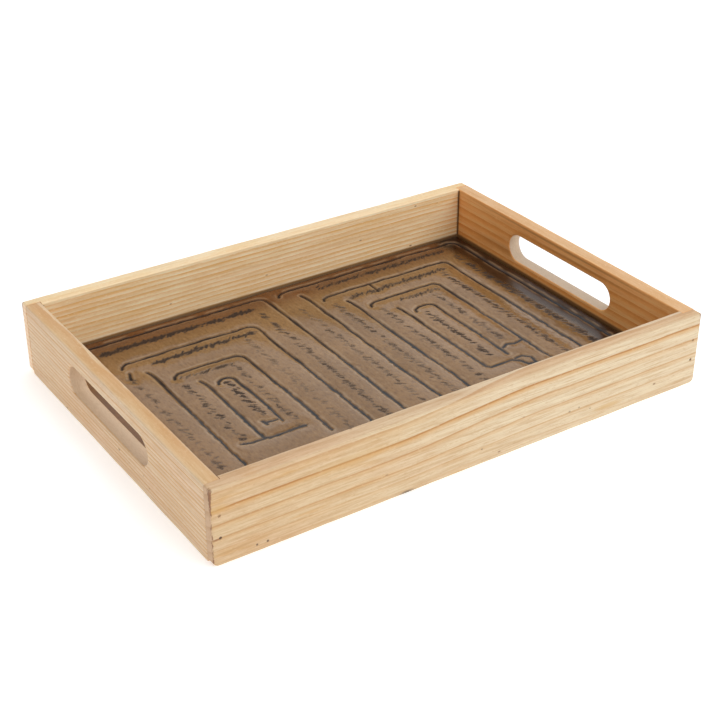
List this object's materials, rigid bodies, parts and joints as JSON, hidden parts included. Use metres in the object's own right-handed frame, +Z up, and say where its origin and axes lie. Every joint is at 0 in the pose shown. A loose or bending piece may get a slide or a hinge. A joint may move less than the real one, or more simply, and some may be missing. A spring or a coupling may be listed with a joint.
{
  "type": "serving tray",
  "caption": "Rectangular pine serving tray with a hand slot in each short side and a glossy bronze glass floor cast with nested rectangles.",
  "frame": {"origin": "middle of the tray's footprint, on the surface that the tray stands on", "axes": "+X along the tray's length, from the left hand slot to the right one; +Y to the back; +Z up"},
  "size_m": [0.42, 0.3, 0.06],
  "materials": {
    "pine": "planed, clear satin lacquer",
    "plywood": "unfinished, sanded",
    "bronze_glass": "cast relief, glossy",
    "brads": "dulled"
  },
  "bodies": {
    "root": {"front_board": "pine", "back_board": "pine", "left_handle_board": "pine", "right_handle_board": "pine", "base_board": "plywood", "relief_panel": "bronze_glass", "brad_front_left_lower": "brads", "brad_front_left_upper": "brads", "brad_front_right_lower": "brads", "brad_front_right_upper": "brads", "brad_back_left_lower": "brads", "brad_back_left_upper": "brads", "brad_back_right_lower": "brads", "brad_back_right_upper": "brads"}
  },
  "joints": []
}
